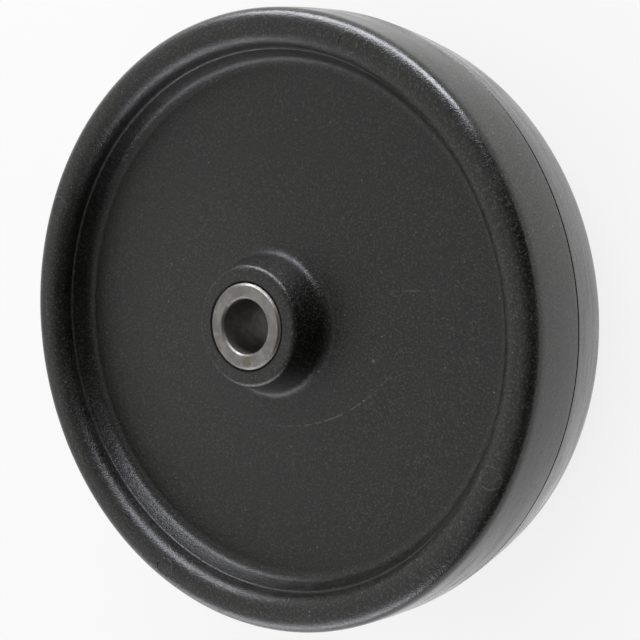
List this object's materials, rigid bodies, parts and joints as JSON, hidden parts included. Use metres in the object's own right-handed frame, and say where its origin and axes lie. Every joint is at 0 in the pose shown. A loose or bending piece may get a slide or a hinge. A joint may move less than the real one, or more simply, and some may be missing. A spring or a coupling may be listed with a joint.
{
  "type": "mower deck guide roller",
  "caption": "Black moulded guide wheel with a recessed outer face, a ribbed inner face and a steel axle bush in its hub.",
  "frame": {"origin": "centre of the axle bore, in the mould's parting plane", "axes": "+Z along the axle towards the outer face with the smooth web, +X towards the side that faces the camera's right in the picture"},
  "size_m": [0.146, 0.146, 0.037],
  "materials": {
    "moulded_plastic": "satin moulded black",
    "bush_steel": "turned, dull"
  },
  "bodies": {
    "root": {"roller_body": "moulded_plastic", "axle_bush": "bush_steel"}
  },
  "joints": []
}
